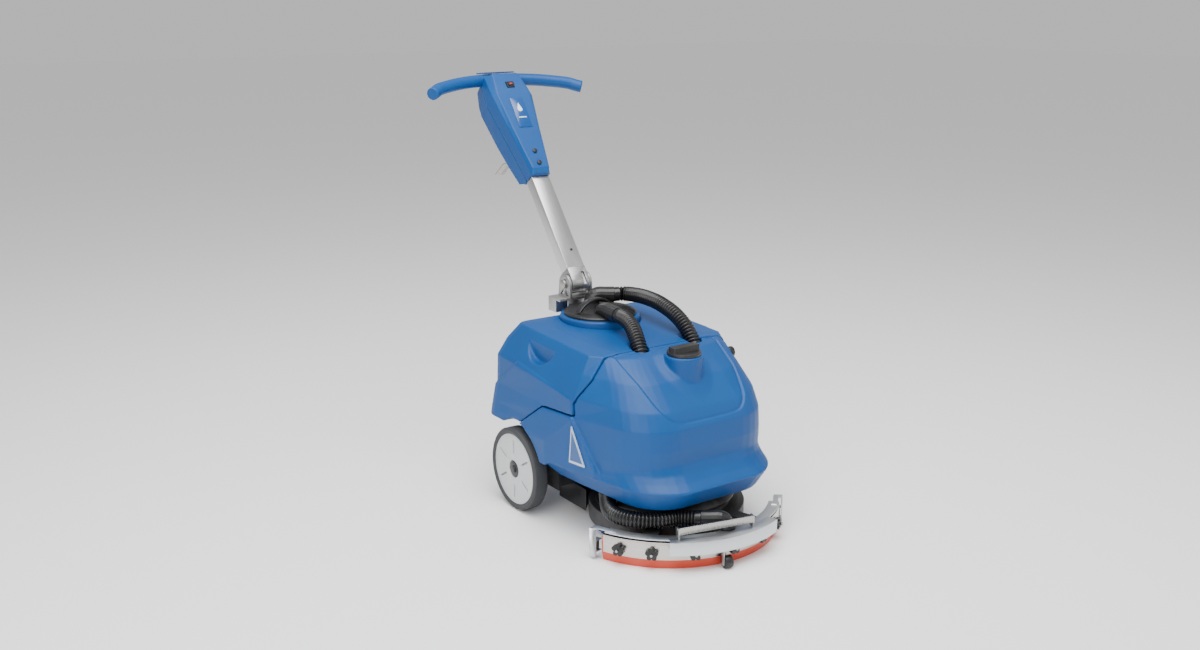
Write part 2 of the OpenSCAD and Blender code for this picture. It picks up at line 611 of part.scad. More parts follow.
module tyre(s) color([0.12, 0.12, 0.13]) at_axle() translate([s * wheel_x, 0, wheel_r])
    rotate([0, 90, 0]) rotate_extrude($fn = 120) polygon([
        [wheel_r - 15, -tyre_w / 2 + 4], [wheel_r - 6, -tyre_w / 2], [wheel_r, -tyre_w / 2 + 5],
        [wheel_r, tyre_w / 2 - 5], [wheel_r - 6, tyre_w / 2], [wheel_r - 15, tyre_w / 2 - 4]
    ]);
// Moulded wheel centre with six slots round the hub.
module disc(s) color([0.78, 0.79, 0.8]) at_axle() translate([s * wheel_x, 0, wheel_r])
    rotate([0, s * 90, 0]) difference() {
        translate([0, 0, -tyre_w / 2 + 4]) cylinder(r = wheel_r - 15, h = tyre_w - 8);
        translate([0, 0, -tyre_w / 2]) cylinder(d = 47, h = tyre_w - 10);
        translate([0, 0, -tyre_w / 2]) cylinder(d = 42, h = tyre_w);
        for (a = [0 : 60 : 300]) rotate([0, 0, a]) translate([0, 0, tyre_w / 2 - 12]) {
            translate([42, 0, 0]) cylinder(d = 5, h = 20, $fn = 24);
            translate([70, 0, 0]) cylinder(d = 5, h = 20, $fn = 24);
            translate([42, -2.5, 0]) cube([28, 5, 20]);
        }
    }
module bearing(s) color("silver") at_axle() translate([s * wheel_x, 0, wheel_r])
    rotate([0, s * 90, 0]) difference() {
        translate([0, 0, -8]) cylinder(d = 47 - 2 * run, h = 14);
        translate([0, 0, -20]) cylinder(d = axle_d + 2 * run, h = 60);
    }
module hub_bolt(s) color([0.15, 0.15, 0.16]) at_axle() translate([s * wheel_x, 0, wheel_r])
    rotate([0, s * 90, 0]) {
        translate([0, 0, 12 + fit]) cylinder(d = 38, h = 3);
        translate([0, 0, 15]) cylinder(d = 19, h = 4, $fn = 6);
    }
module left_tyre() tyre(-1);
module left_disc() disc(-1);
module left_bearing() bearing(-1);
module left_hub_bolt() hub_bolt(-1);
module right_tyre() tyre(1);
module right_disc() disc(1);
module right_bearing() bearing(1);
module right_hub_bolt() hub_bolt(1);

// ---- squeegee ----

// Steel ring that turns on the deck collar, with two arms that carry the squeegee.
module swing_ring() color([0.2, 0.2, 0.21]) at_squeegee() difference() {
    union() {
        translate([0, 0, arm_z]) cylinder(r = ring_r + 15, h = 4, $fn = 120);
        for (a = [-34, 30]) rotate([0, 0, a])
            translate([-16, 4 - lip_r, arm_z]) cube([32, lip_r - ring_r - 4, 4]);
    }
    cylinder(r = ring_r + run, h = 100, $fn = 120);
}
// Carrier between the two blades, with the socket of the suction outlet.
module squeegee_body() color([0.1, 0.1, 0.11]) {
    at_squeegee() arc_band(lip_r - 14 + fit, lip_r + 5 - fit, 26, deck_z, -blade_half, blade_half);
    at_deck() translate([outlet[0], outlet[1], 54]) cylinder(r = hose_r + 3, h = outlet[2] - 54);
}
module blade(r, top, half) rotate([0, 0, -half - 90]) rotate_extrude(angle = 2 * half, $fn = 180)
    polygon([[r - 5, 0], [r - 1, 0], [r + 4, 22], [r + 4, top], [r, top], [r, 22]]);
module rear_blade() color([0.78, 0.18, 0.12]) at_squeegee() blade(lip_r + 5, 56, blade_half);
module front_blade() color([0.72, 0.16, 0.1]) at_squeegee() blade(lip_r - 18, 52, blade_half - 2);
module blade_strap() color([0.75, 0.73, 0.7]) at_squeegee()
    arc_band(lip_r + 9 + fit, lip_r + 11, deck_z - strap_h - 2, deck_z, 1 - blade_half, blade_half - 1);
module squeegee_knobs() color([0.05, 0.05, 0.06]) at_squeegee()
    for (a = knob_angles) on_arc(a, lip_r + 11) translate([0, 0, 38]) rotate([90, 0, 0])
        star_knob();
module star_knob() {
    cylinder(d = knob_d - 12, h = 12, $fn = 32);
    for (a = [18 : 72 : 306]) rotate([0, 0, a]) translate([knob_d / 2 - 6, 0, 2])
        cylinder(d = 11, h = 9, $fn = 24);
    cylinder(d = 7, h = 15, $fn = 24);
}
// Galvanised angle in front of the squeegee on a flat plate, with the arm of the support roller.
module bumper_rail() color([0.72, 0.74, 0.76]) {
    difference() {
        at_squeegee() arc_band(lip_r - 14, lip_r + 11, plate_z, plate_z + 2.5, -56, 56);
        at_deck() translate([outlet[0], outlet[1], 0]) cylinder(r = hose_r + 2, h = 100);
    }
    at_squeegee() {
        arc_band(lip_r + 31, lip_r + 33.5, 42, plate_z + 5, -24, 34);
        arc_band(lip_r + 8, lip_r + 33.5, plate_z + 2.5, plate_z + 5, -24, 34);
        on_arc(3, lip_r + 26) {
            translate([-12, -5, 8]) cube([2, 10, plate_z - 4]);
            translate([0, 0, 14]) rod_x(6, -12, 9);
        }
    }
}
module link_bar() color([0.8, 0.81, 0.82]) at_squeegee() {
    x = (lip_r + 12) * sin(20);
    y = -(lip_r + 12) * cos(20);
    for (s = [-1, 1]) translate([s * x - 2, y - 6, plate_z + 5]) cube([4, 14, 26]);
    translate([-x + 2, y - 6, 82]) cube([2 * x - 4, 4, 16]);
}
// Upright brackets at the two ends of the squeegee, each with the pin of a guide roller.
module end_brackets() color([0.7, 0.71, 0.72]) at_squeegee() for (s = [-1, 1]) {
    arc_band(lip_r - 4, lip_r + 8, plate_z + 2.5, plate_z + 4.5, s < 0 ? -62 : 50, s < 0 ? -50 : 62);
    on_arc(s * (blade_half + 4), lip_r + 4) {
        translate([-9, -14, 6]) cube([18, 2.5, plate_z - 1.5]);
        for (z = [18, 43, plate_z + 2.5]) translate([-9, -14, z]) cube([18, 20, 2]);
        translate([0, -2, 18]) cylinder(d = 5, h = 26, $fn = 32);
    }
}
module outlet_elbow() color([0.07, 0.07, 0.08]) at_deck()
    elbow(outlet, [outlet[0], outlet[1], lower_route[8][2]], [-56.6, -195.9, 89], hose_r);
module support_roller() color([0.1, 0.1, 0.1]) at_squeegee() on_arc(3, lip_r + 26)
    translate([0, 0, 14]) difference() {
        rod_x(28, -9, 8);
        rod_x(6 + 2 * run, -20, 20);
    }
module guide_roller(s) color([0.1, 0.1, 0.1]) at_squeegee() on_arc(s * (blade_half + 4), lip_r + 4)
    translate([0, -2, 21]) difference() {
        cylinder(d = 14, h = 21, $fn = 48);
        translate([0, 0, -1]) cylinder(d = 5 + 2 * run, h = 30, $fn = 48);
    }
module left_guide_roller() guide_roller(-1);
module right_guide_roller() guide_roller(1);

chassis_frame();
chassis_tray();
wheel_axle();
battery_left();
battery_right();
deck_housing();
deck_cover();
gear_motor();
front_shell();
filler_cap();
flow_knob();
suction_hose();
recovery_tank();
tank_collar();
tank_lid();
lid_gasket();
lid_handle();
lid_elbow_front();
lid_elbow_rear();
hose_front();
hose_rear();
vacuum_motor();
rear_mast();
handle_bracket();
pivot_bolt();
handle_knuckle();
handle_tube();
console_front();
console_rear();
handle_screws();
console_label();
switch_frame();
power_switch();
release_lever();
grip_bar();
top_plate();
left_tyre();
left_disc();
left_bearing();
left_hub_bolt();
right_tyre();
right_disc();
right_bearing();
right_hub_bolt();
drive_shaft();
brush_block();
brush_bristles();
swing_ring();
squeegee_body();
rear_blade();
front_blade();
blade_strap();
squeegee_knobs();
bumper_rail();
link_bar();
end_brackets();
outlet_elbow();
support_roller();
left_guide_roller();
right_guide_roller();
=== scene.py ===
import json
import math

import bmesh
import bpy
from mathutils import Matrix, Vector


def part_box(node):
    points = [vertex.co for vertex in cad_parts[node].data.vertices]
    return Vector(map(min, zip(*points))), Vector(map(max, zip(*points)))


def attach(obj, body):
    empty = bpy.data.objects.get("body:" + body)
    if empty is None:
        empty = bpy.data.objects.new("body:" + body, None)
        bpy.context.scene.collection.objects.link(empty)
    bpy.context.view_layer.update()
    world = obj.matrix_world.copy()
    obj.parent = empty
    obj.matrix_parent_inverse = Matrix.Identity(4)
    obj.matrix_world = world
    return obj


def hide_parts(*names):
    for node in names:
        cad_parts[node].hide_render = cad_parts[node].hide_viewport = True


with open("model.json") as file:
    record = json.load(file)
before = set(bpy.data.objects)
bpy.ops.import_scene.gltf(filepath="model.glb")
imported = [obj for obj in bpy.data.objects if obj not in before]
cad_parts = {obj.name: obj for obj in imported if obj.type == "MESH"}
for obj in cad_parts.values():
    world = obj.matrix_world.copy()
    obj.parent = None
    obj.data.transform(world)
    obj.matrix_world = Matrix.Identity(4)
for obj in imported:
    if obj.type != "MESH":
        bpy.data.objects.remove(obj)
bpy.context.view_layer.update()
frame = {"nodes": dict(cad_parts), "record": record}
nodes = frame["nodes"]
for plain in list(bpy.data.materials):
    bpy.data.materials.remove(plain)

# Camera: stands in front and to the left of the machine, a little above its grips, and looks down
# at it through a lens of about normal length.
camera_data = bpy.data.cameras.new("camera")
camera_data.lens = 37.87
camera_data.sensor_width = 36.0
camera = bpy.data.objects.new("camera", camera_data)
bpy.context.scene.collection.objects.link(camera)
turn, tilt = math.radians(-34.64), math.radians(14.96)
camera.location = (-1.679, -2.402, 1.202)
look = Vector((-math.sin(turn) * math.cos(tilt), math.cos(turn) * math.cos(tilt), -math.sin(tilt)))
camera.rotation_euler = look.to_track_quat("-Z", "Y").to_euler()
bpy.context.scene.camera = camera


# Floor and light: a pale floor with no edge in sight, one large soft lamp overhead, one from the
# left front and a weak one from the right.
def deselect():
    bpy.ops.object.select_all(action="DESELECT")


deselect()
bpy.ops.mesh.primitive_plane_add(size=40, location=(0, 0, 0))
floor = bpy.context.active_object
floor.name = "floor"
bpy.ops.object.mode_set(mode="EDIT")
bpy.ops.mesh.subdivide(number_cuts=4)
bpy.ops.object.mode_set(mode="OBJECT")
pale = bpy.data.materials.new("pale_floor")
pale.use_nodes = True
pale.node_tree.nodes["Principled BSDF"].inputs["Base Color"].default_value = (0.98, 0.98, 0.98, 1)
pale.node_tree.nodes["Principled BSDF"].inputs["Roughness"].default_value = 0.7
floor.data.materials.append(pale)


def soft_lamp(name, place, size, power):
    data = bpy.data.lights.new(name, "AREA")
    data.shape = "RECTANGLE"
    data.size, data.size_y = size
    data.energy = power
    lamp = bpy.data.objects.new(name, data)
    bpy.context.scene.collection.objects.link(lamp)
    lamp.location = place
    lamp.rotation_euler = (Vector((0, -0.05, 0.35)) - Vector(place)).to_track_quat("-Z", "Y").to_euler()


soft_lamp("overhead_lamp", (-0.4, -0.6, 3.0), (2.6, 2.6), 150)
soft_lamp("front_lamp", (-2.6, -1.6, 1.7), (1.6, 2.0), 44)
soft_lamp("side_lamp", (2.0, -2.4, 1.4), (1.6, 1.6), 12)
sky = bpy.data.worlds.new("studio")
sky.use_nodes = True
sky.node_tree.nodes["Background"].inputs["Color"].default_value = (1, 1, 1, 1)
sky.node_tree.nodes["Background"].inputs["Strength"].default_value = 0.62
bpy.context.scene.world = sky


# Finishes: two shared effects, a fine pitted grain for moulded plastic and rubber, and drawn lines
# for metal, and the materials that are mixed from them.
def group_of(name, inputs, outputs):
    tree = bpy.data.node_groups.new(name, "ShaderNodeTree")
    for label, value in inputs:
        socket = tree.interface.new_socket(label, in_out="INPUT", socket_type="NodeSocketFloat")
        socket.default_value = value
    for label in outputs:
        tree.interface.new_socket(label, in_out="OUTPUT", socket_type="NodeSocketFloat")
    start = tree.nodes.new("NodeGroupInput")
    end = tree.nodes.new("NodeGroupOutput")
    return tree, start, end


grain, start, end = group_of("fine_grain", [("Scale", 900.0)], ["Height", "Mottle"])
place = grain.nodes.new("ShaderNodeTexCoord")
pits = grain.nodes.new("ShaderNodeTexNoise")
pits.inputs["Detail"].default_value = 3
cloud = grain.nodes.new("ShaderNodeTexNoise")
cloud.inputs["Scale"].default_value = 9
cloud.inputs["Detail"].default_value = 5
grain.links.new(place.outputs["Object"], pits.inputs["Vector"])
grain.links.new(place.outputs["Object"], cloud.inputs["Vector"])
grain.links.new(start.outputs["Scale"], pits.inputs["Scale"])
grain.links.new(pits.outputs["Fac"], end.inputs["Height"])
grain.links.new(cloud.outputs["Fac"], end.inputs["Mottle"])

lines, start, end = group_of("drawn_lines", [("X", 4.0), ("Y", 4.0), ("Z", 400.0)], ["Height", "Streak"])
place = lines.nodes.new("ShaderNodeTexCoord")
stretch = lines.nodes.new("ShaderNodeCombineXYZ")
spread = lines.nodes.new("ShaderNodeVectorMath")
spread.operation = "MULTIPLY"
streak = lines.nodes.new("ShaderNodeTexNoise")
streak.inputs["Scale"].default_value = 1
streak.inputs["Detail"].default_value = 4
for axis in "XYZ":
    lines.links.new(start.outputs[axis], stretch.inputs[axis])
lines.links.new(place.outputs["Object"], spread.inputs[0])
lines.links.new(stretch.outputs[0], spread.inputs[1])
lines.links.new(spread.outputs[0], streak.inputs["Vector"])
lines.links.new(streak.outputs["Fac"], end.inputs["Height"])
lines.links.new(streak.outputs["Fac"], end.inputs["Streak"])


def finish_of(name, dark, light, rough, metal=0.0, effect="grain", scale=900.0, bump=0.1,
              pull=None, coat=0.0):
    """A material whose colour runs from dark to light and whose roughness runs over rough."""
    material = bpy.data.materials.new(name)
    material.use_nodes = True
    tree = material.node_tree
    shader = tree.nodes["Principled BSDF"]
    shader.inputs["Metallic"].default_value = metal
    shader.inputs["Coat Weight"].default_value = coat
    shader.inputs["Coat Roughness"].default_value = 0.15
    source = tree.nodes.new("ShaderNodeGroup")
    source.node_tree = grain if effect == "grain" else lines
    if effect == "grain":
        source.inputs["Scale"].default_value = scale
    else:
        for axis, value in zip("XYZ", pull):
            source.inputs[axis].default_value = value
    mask = source.outputs["Mottle" if effect == "grain" else "Streak"]
    colour = tree.nodes.new("ShaderNodeMix")
    colour.data_type = "RGBA"
    colour.inputs[6].default_value = (*dark, 1)
    colour.inputs[7].default_value = (*light, 1)
    gloss = tree.nodes.new("ShaderNodeMapRange")
    gloss.inputs["From Min"].default_value = 0.3
    gloss.inputs["From Max"].default_value = 0.7
    gloss.inputs["To Min"].default_value = rough[0]
    gloss.inputs["To Max"].default_value = rough[1]
    relief = tree.nodes.new("ShaderNodeBump")
    relief.inputs["Strength"].default_value = bump
    relief.inputs["Distance"].default_value = 0.0004
    tree.links.new(mask, colour.inputs[0])
    tree.links.new(mask, gloss.inputs["Value"])
    tree.links.new(colour.outputs[2], shader.inputs["Base Color"])
    tree.links.new(gloss.outputs[0], shader.inputs["Roughness"])
    tree.links.new(source.outputs["Height"], relief.inputs["Height"])
    tree.links.new(relief.outputs["Normal"], shader.inputs["Normal"])
    return material


blue_shell = finish_of(
    "blue_shell", (0.0, 0.050, 0.20), (0.0, 0.066, 0.245), (0.42, 0.52),
    bump=0.22, scale=700)
blue_handle = finish_of(
    "blue_handle", (0.0, 0.052, 0.21), (0.0, 0.068, 0.255), (0.40, 0.48),
    bump=0.18, scale=900)
for blue in (blue_shell, blue_handle):
    blue.node_tree.nodes["Principled BSDF"].inputs["Specular IOR Level"].default_value = 0.35
black_plastic = finish_of(
    "black_plastic", (0.006, 0.006, 0.007), (0.012, 0.012, 0.013), (0.34, 0.46),
    bump=0.2)
hose_black = finish_of("hose_black", (0.004, 0.004, 0.005), (0.008, 0.008, 0.009), (0.24, 0.34), bump=0.08)
tyre_grey = finish_of(
    "tyre_grey", (0.03, 0.032, 0.035), (0.045, 0.047, 0.05), (0.6, 0.75),
    bump=0.3, scale=500)
wheel_grey = finish_of("wheel_grey", (0.50, 0.51, 0.52), (0.56, 0.57, 0.58), (0.4, 0.5), bump=0.15)
steel = finish_of(
    "steel", (0.32, 0.31, 0.30), (0.50, 0.49, 0.47), (0.22, 0.34),
    1.0, "lines", bump=0.1, pull=(300, 8, 8))
stainless = finish_of(
    "stainless", (0.44, 0.42, 0.39), (0.66, 0.63, 0.59), (0.22, 0.38),
    1.0, "lines", bump=0.15, pull=(6, 6, 500))
galvanised = finish_of(
    "galvanised", (0.50, 0.52, 0.54), (0.70, 0.72, 0.73), (0.3, 0.5),
    1.0, scale=160, bump=0.15)
cast_alu = finish_of(
    "cast_alu", (0.36, 0.36, 0.36), (0.50, 0.50, 0.50), (0.34, 0.46),
    1.0, scale=420, bump=0.5)
tube_alu = finish_of(
    "tube_alu", (0.52, 0.52, 0.53), (0.64, 0.64, 0.65), (0.28, 0.36),
    1.0, "lines", bump=0.06, pull=(600, 6, 6))
painted_steel = finish_of(
    "painted_steel", (0.014, 0.014, 0.015), (0.022, 0.022, 0.023), (0.4, 0.55),
    bump=0.3, scale=500)
blade_red = finish_of("blade_red", (0.50, 0.045, 0.02), (0.62, 0.07, 0.03), (0.3, 0.4), bump=0.08)
bristle_blue = finish_of(
    "bristle_blue", (0.01, 0.05, 0.2), (0.03, 0.1, 0.36), (0.4, 0.6),
    0.0, "lines", bump=1.0, pull=(900, 900, 12))
gasket_rubber = finish_of("gasket_rubber", (0.01, 0.01, 0.01), (0.016, 0.016, 0.016), (0.6, 0.8))
label_film = finish_of("label", (0.0, 0.050, 0.21), (0.0, 0.064, 0.25), (0.16, 0.22), bump=0.02, coat=0.4)
switch_red = finish_of(
    "switch_red", (0.42, 0.012, 0.01), (0.50, 0.018, 0.014), (0.15, 0.22),
    bump=0.02, coat=0.5)
battery_case = finish_of("battery_case", (0.03, 0.03, 0.035), (0.05, 0.05, 0.055), (0.4, 0.5))
finishes = {m.name: m for m in (
    blue_shell, blue_handle, black_plastic, hose_black, tyre_grey, wheel_grey, steel, stainless,
    galvanised, cast_alu, tube_alu, painted_steel, blade_red, bristle_blue, gasket_rubber,
    label_film, switch_red, battery_case)}
for part in frame["record"]["subparts"]:
    mesh = nodes[part["node"]].data
    mesh.materials.clear()
    mesh.materials.append(finishes[part["material_slot"]])


# Moulded shells: the front shell and the recovery tank are rotationally moulded in blue
# polyethylene, so every edge is soft and the wall has no sharp corner.
def copy_of(node, name):
    """A free copy of a frame piece, with its loose triangles merged."""
    deselect()
    piece = bpy.data.objects.new(name, nodes[node].data.copy())
    bpy.context.scene.collection.objects.link(piece)
    bpy.context.view_layer.objects.active = piece
    piece.select_set(True)
    bpy.ops.object.mode_set(mode="EDIT")
    bpy.ops.mesh.select_all(action="SELECT")
    bpy.ops.mesh.remove_doubles(threshold=0.00002)
    bpy.ops.object.mode_set(mode="OBJECT")
    return piece


def apply_modifier(piece, kind, **settings):
    modifier = piece.modifiers.new(kind.lower(), kind)
    for name, value in settings.items():
        setattr(modifier, name, value)
    bpy.context.view_layer.objects.active = piece
    bpy.ops.object.modifier_apply(modifier=modifier.name)


body_of_node = {n: b for b, members in frame["record"]["behaviour"]["bodies"].items() for n in members}


def stands_for(piece, node):
    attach(piece, body_of_node[node])
    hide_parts(node)


def moulded(node, voxel, passes, most, relief=None):
    """Rounds every edge of a copy by remeshing and smoothing it, and thins it to most triangles."""
    piece = copy_of(node, node + "_moulded")
    apply_modifier(piece, "REMESH", mode="VOXEL", voxel_size=voxel)
    apply_modifier(piece, "SMOOTH", factor=0.5, iterations=passes)
    if relief:
        for vertex in piece.data.vertices:
            vertex.co += relief(vertex.co)
    triangles = sum(len(face.vertices) - 2 for face in piece.data.polygons)
    if triangles > most:
        apply_modifier(piece, "DECIMATE", ratio=most / triangles)
    bpy.ops.object.shade_smooth()
    stands_for(piece, node)
    return piece


def ease(value, low, high):
    t = max(0.0, min(1.0, (value - low) / (high - low)))
    return t * t * (3 - 2 * t)


panel_foot, panel_rise, panel_half, panel_power = 0.294, 0.130, 0.145, 7
cap_low, cap_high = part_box("filler_cap")
cap_middle = (cap_low + cap_high) / 2


def hood_relief(p):
    """The middle of the hood lies lower than its flanks, inside a U-shaped moulded groove."""
    if p.y > -0.222 or not 0.28 < p.z < 0.44:
        return Vector((0, 0, 0))
    share = abs(p.x) / panel_half
    edge = panel_foot + panel_rise * share ** panel_power
    slope = panel_rise * panel_power / panel_half * share ** (panel_power - 1)
    depth = (p.z - edge) / math.hypot(1, slope)
    from_cap = math.hypot(p.x - cap_middle.x, p.y - cap_middle.y)
    amount = 0.0042 * ease(depth, 0.0, 0.007) * ease(from_cap, 0.044, 0.07)
    amount += 0.0024 * (1 - ease(abs(depth - 0.003), 0.0, 0.005))
    return Vector((0, 0.72, -0.69)) * amount * ease(-p.y, 0.224, 0.232)


crease_front, crease_top, crease_slope, crease_fall = -0.184, 0.325, 0.123, 0.776
crease_peak = 0.044


def tank_relief(p):
    """Each flank stands out below a crease that climbs backwards and drops again at the tail."""
    if abs(p.x) < 0.18 or p.z > 0.38:
        return Vector((0, 0, 0))
    climb = crease_top + crease_slope * (p.y - crease_front)
    peak = crease_top + crease_slope * (crease_peak - crease_front)
    edge = min(climb, peak - crease_fall * (p.y - crease_peak))
    return Vector((math.copysign(0.0038, p.x), 0, 0)) * (1 - ease(p.z, edge - 0.002, edge + 0.005))


moulded("front_shell", 0.0026, 4, 185000, hood_relief)
moulded("recovery_tank", 0.0026, 4, 165000, tank_relief)


# Console and grips: injection moulded in blue, with tighter edges than the tanks.
moulded("console_front", 0.0014, 3, 60000)
moulded("console_rear", 0.0014, 3, 60000)
moulded("grip_bar", 0.0018, 9, 60000)


# Turned, cast and pressed pieces: the same shape with the fine broken edge that deburring or
# moulding leaves.
def broken_edges(node, width, rings=2, angle=34):
    piece = copy_of(node, node + "_finished")
    bpy.ops.object.mode_set(mode="EDIT")
    bpy.ops.mesh.select_all(action="SELECT")
    bpy.ops.mesh.dissolve_limited(angle_limit=math.radians(0.5))
    bpy.ops.object.mode_set(mode="OBJECT")
    apply_modifier(piece, "BEVEL", width=width, segments=rings, limit_method="ANGLE",
                   angle_limit=math.radians(angle), use_clamp_overlap=True)
    deselect()
    piece.select_set(True)
    bpy.ops.object.shade_smooth_by_angle(angle=math.radians(angle))
    stands_for(piece, node)
    return piece


for node, width in (
        ("tank_collar", 0.002), ("tank_lid", 0.001), ("lid_handle", 0.0015), ("filler_cap", 0.0018),
        ("flow_knob", 0.0012), ("handle_bracket", 0.0012), ("handle_knuckle", 0.0016),
        ("pivot_bolt", 0.0008), ("handle_tube", 0.0022), ("handle_screws", 0.0006),
        ("release_lever", 0.0008), ("top_plate", 0.0008), ("switch_frame", 0.0006),
        ("power_switch", 0.0006), ("squeegee_knobs", 0.0012), ("bumper_rail", 0.0006),
        ("link_bar", 0.0009), ("end_brackets", 0.0006), ("blade_strap", 0.0004),
        ("left_tyre", 0.0012), ("right_tyre", 0.0012), ("left_disc", 0.0009), ("right_disc", 0.0009),
        ("left_hub_bolt", 0.0007), ("right_hub_bolt", 0.0007), ("deck_housing", 0.0015),
        ("deck_cover", 0.002), ("chassis_tray", 0.002), ("rear_mast", 0.0015),
        ("support_roller", 0.0009), ("left_guide_roller", 0.0008), ("right_guide_roller", 0.0008),
        ("battery_left", 0.002), ("battery_right", 0.002), ("console_label", 0.0004)):
    broken_edges(node, width)


# Small plates: film and lenses that are set a little proud of what they are stuck to.
def thin_plate(name, corners, material, body, thickness):
    """A plate over corners that run anticlockwise seen from outside, with its thickness inwards."""
    mesh = bmesh.new()
    face = mesh.faces.new([mesh.verts.new(c) for c in corners])
    face.normal_update()
    inwards = -face.normal * thickness
    grown = bmesh.ops.extrude_face_region(mesh, geom=[face])
    for item in grown["geom"]:
        if isinstance(item, bmesh.types.BMVert):
            item.co += inwards
    bmesh.ops.recalc_face_normals(mesh, faces=mesh.faces)
    data = bpy.data.meshes.new(name)
    mesh.to_mesh(data)
    mesh.free()
    data.materials.append(material)
    piece = bpy.data.objects.new(name, data)
    bpy.context.scene.collection.objects.link(piece)
    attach(piece, body)
    return piece


# Flank badges: a plain triangle of pale film with a blue field, stuck on the boss in front of each
# wheel, on its flat tapered face.
pale_film = finish_of("pale_film", (0.42, 0.52, 0.64), (0.48, 0.57, 0.68), (0.25, 0.35), bump=0.02)
boss_half, boss_taper, boss_start = 0.250, 0.1835, -0.110


def on_boss(side, y, z, proud):
    return (side * (boss_half - boss_taper * (boss_start - y) + proud), y, z)


badge = [(-0.201, 0.268), (-0.194, 0.182), (-0.242, 0.182)]
badge_middle = Vector((-0.2125, 0.2106))
for side, side_name in ((-1, "left"), (1, "right")):
    for part_name, film, share, proud in (
            ("rim", pale_film, 1.0, 0.0006), ("field", label_film, 0.80, 0.0009)):
        shape = [badge_middle + (Vector(c) - badge_middle) * share for c in badge[::side]]
        thin_plate(f"badge_{part_name}_{side_name}", [on_boss(side, y, z, proud) for y, z in shape],
                   film, "chassis", 0.003)


# Rocker window and console pictogram: a small red lens in the rocker, and a white drop over a
# line on the label, in place of lettering.
pivot_low, pivot_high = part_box("pivot_bolt")
pivot = (pivot_low + pivot_high) / 2
handle_lean = math.radians(38)
label_lean = math.radians(2.4)


def on_handle(x, depth, along):
    """A place on the handle: depth towards its front face, along from the fold pivot."""
    return (x, pivot.y - depth * math.cos(handle_lean) + along * math.sin(handle_lean),
            pivot.z + depth * math.sin(handle_lean) + along * math.cos(handle_lean))


def on_label(x, along):
    return on_handle(x, 0.0479 + (along - 0.423) * math.sin(label_lean), along)


thin_plate("rocker_lens", [on_handle(x, 0.0548, u) for x, u in
                           ((-0.0035, 0.5475), (0.0035, 0.5475), (0.0035, 0.5515), (-0.0035, 0.5515))],
           switch_red, "switch", 0.0012)
white_ink = finish_of("white_ink", (0.74, 0.76, 0.78), (0.82, 0.84, 0.86), (0.3, 0.4), bump=0.01)
drop = [(0.0, 0.493)]
for degrees in range(150, 391, 20):
    a = math.radians(degrees)
    drop.append((0.0068 * math.cos(a), 0.475 + 0.0068 * math.sin(a)))
thin_plate("label_drop", [on_label(x, u) for x, u in drop], white_ink, "handle", 0.0008)
thin_plate("label_line", [on_label(x, u) for x, u in
                          ((-0.011, 0.4500), (0.011, 0.4500), (0.011, 0.4525), (-0.011, 0.4525))],
           white_ink, "handle", 0.0008)


# Knob studs: the zinc plated stud end that shows in the middle of each star knob, pressed in.
shaft_low, shaft_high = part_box("drive_shaft")
brush_middle = (shaft_low + shaft_high) / 2
knob_reach, knob_height, swing_rest = 0.2762, 0.038, -12
for number, angle in enumerate((-48, -32, -12, 8, 27, 45)):
    turn = math.radians(angle + swing_rest)
    deselect()
    bpy.ops.mesh.primitive_cylinder_add(
        vertices=24, radius=0.0030, depth=0.0034, rotation=(math.pi / 2, 0, turn),
        location=(knob_reach * math.sin(turn), brush_middle.y - knob_reach * math.cos(turn), knob_height))
    stud = bpy.context.active_object
    stud.name = f"knob_stud_{number}"
    bpy.ops.object.transform_apply(location=True, rotation=True, scale=True)
    stud.data.materials.append(steel)
    apply_modifier(stud, "BEVEL", width=0.0005, segments=2, limit_method="ANGLE")
    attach(stud, "squeegee")


# Suction hoses: black corrugated tube, its ribs about 8 mm apart, pushed over plain cuffs. The two
# on top run from the lid into the body, the lower one from the body to the squeegee.
def smooth_route(points, shift, step):
    """Points every step along a smooth curve through the given ones, in metres."""
    points = [Vector(p) / 1000 + Vector(shift) for p in points]
    fine = []
    for i in range(len(points) - 1):
        a, b, c, d = points[max(i - 1, 0)], points[i], points[i + 1], points[min(i + 2, len(points) - 1)]
        for k in range(40):
            t = k / 40
            fine.append(b + (c - a) * t / 2 + (a * 2 - b * 5 + c * 4 - d) * t * t / 2
                        + (b * 3 - a - c * 3 + d) * t ** 3 / 2)
    fine.append(points[-1])
    run = [0.0]
    for a, b in zip(fine, fine[1:]):
        run.append(run[-1] + (b - a).length)
    count = max(2, round(run[-1] / step))
    even, k = [], 0
    for i in range(count + 1):
        want = run[-1] * i / count
        while k < len(run) - 2 and run[k + 1] < want:
            k += 1
        even.append(fine[k].lerp(fine[k + 1], min(1.0, (want - run[k]) / max(run[k + 1] - run[k], 1e-9))))
    return even, run[-1]


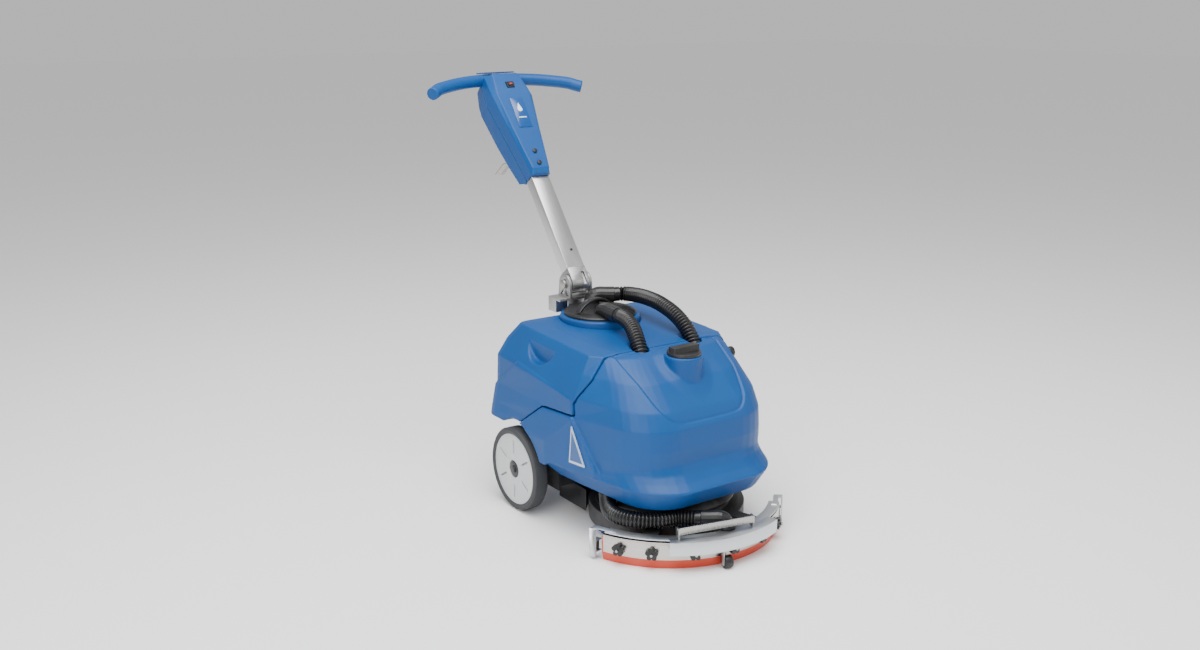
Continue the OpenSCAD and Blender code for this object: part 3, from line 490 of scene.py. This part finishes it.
def ribbed_hose(name, node, points, shift, radius):
    """A corrugated tube along a route; its ribs stand up to radius and its two cuffs are plain."""
    pitch, steps, sides = 0.0076, 6, 28
    rib_depth, cuff_depth, cuff_length = 0.0034, 0.0008, 0.012
    even, length = smooth_route(points, shift, pitch / steps)
    mesh = bmesh.new()
    up = Vector((0.3, 0.2, 1.0))
    rings = []
    for i, centre in enumerate(even):
        ahead = (even[min(i + 1, len(even) - 1)] - even[max(i - 1, 0)]).normalized()
        up = (up - ahead * up.dot(ahead)).normalized()
        across = ahead.cross(up)
        end = min(i, len(even) - 1 - i) * pitch / steps
        rib = 0.5 - 0.5 * math.cos(2 * math.pi * i / steps)
        r = radius - rib_depth + rib_depth * rib ** 0.7 if end > cuff_length else radius - cuff_depth
        rings.append([mesh.verts.new(centre + r * (math.cos(a) * up + math.sin(a) * across))
                      for a in (2 * math.pi * k / sides for k in range(sides))])
    for a, b in zip(rings, rings[1:]):
        for k in range(sides):
            mesh.faces.new((a[k], a[(k + 1) % sides], b[(k + 1) % sides], b[k]))
    mesh.faces.new(rings[0])
    mesh.faces.new(rings[-1])
    bmesh.ops.recalc_face_normals(mesh, faces=mesh.faces)
    data = bpy.data.meshes.new(name)
    mesh.to_mesh(data)
    mesh.free()
    data.materials.append(hose_black)
    piece = bpy.data.objects.new(name, data)
    bpy.context.scene.collection.objects.link(piece)
    deselect()
    piece.select_set(True)
    bpy.context.view_layer.objects.active = piece
    bpy.ops.object.shade_smooth_by_angle(angle=math.radians(60))
    stands_for(piece, node)
    return piece


ribbed_hose("front_hose_ribbed", "hose_front", [
    (-29, -110, 466), (-33, -145, 464), (-41, -180, 455), (-52, -212, 438), (-61, -239, 412),
    (-62, -243, 394)], (0, 0.020, 0), 0.0185)
ribbed_hose("rear_hose_ribbed", "hose_rear", [
    (60, 35, 476), (84, 20, 477), (93, -25, 480), (92, -72, 481), (90, -115, 478),
    (89, -170, 465), (90, -213, 441), (89, -240, 412), (88, -244, 394)], (0, 0.020, 0), 0.0185)
ribbed_hose("lower_hose_ribbed", "suction_hose", [
    (-152, 30, 146), (-155, 24, 118), (-163, 6, 94), (-185, -34, 86), (-194, -76, 87),
    (-178, -120, 89), (-142, -150, 89), (-98, -166, 89),
    (-57.4, -195.3, 89)], (0, -0.242, 0), 0.0188)


# Brush: blue nylon tufts, set in rings in the underside of the block.
def tufts():
    low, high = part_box("brush_bristles")
    middle = (low + high) / 2
    mesh = bmesh.new()
    for row, reach in enumerate((0.062, 0.082, 0.102, 0.122, 0.142, 0.159)):
        count = round(2 * math.pi * reach / 0.013)
        for k in range(count):
            a = 2 * math.pi * (k + 0.5 * (row % 2)) / count
            lean = 0.35 * math.sin(12.9 * k + 4.1 * row)
            foot = Vector((middle.x + (reach + 0.003) * math.cos(a),
                           middle.y + (reach + 0.003) * math.sin(a), low.z))
            head = Vector((middle.x + reach * math.cos(a + 0.004 * lean),
                           middle.y + reach * math.sin(a + 0.004 * lean), high.z))
            across = Vector((math.cos(a), math.sin(a), 0))
            along = Vector((-math.sin(a), math.cos(a), 0))
            rings = [[mesh.verts.new(c + r * (math.cos(t) * across + math.sin(t) * along))
                      for t in (2 * math.pi * j / 8 for j in range(8))]
                     for c, r in ((foot, 0.0049), (foot.lerp(head, 0.5), 0.0040), (head, 0.0032))]
            for p, q in zip(rings, rings[1:]):
                for j in range(8):
                    mesh.faces.new((p[j], p[(j + 1) % 8], q[(j + 1) % 8], q[j]))
            mesh.faces.new(rings[0])
            mesh.faces.new(rings[-1])
    bmesh.ops.recalc_face_normals(mesh, faces=mesh.faces)
    data = bpy.data.meshes.new("brush_tufts")
    mesh.to_mesh(data)
    mesh.free()
    data.materials.append(bristle_blue)
    piece = bpy.data.objects.new("brush_tufts", data)
    bpy.context.scene.collection.objects.link(piece)
    stands_for(piece, "brush_bristles")


tufts()
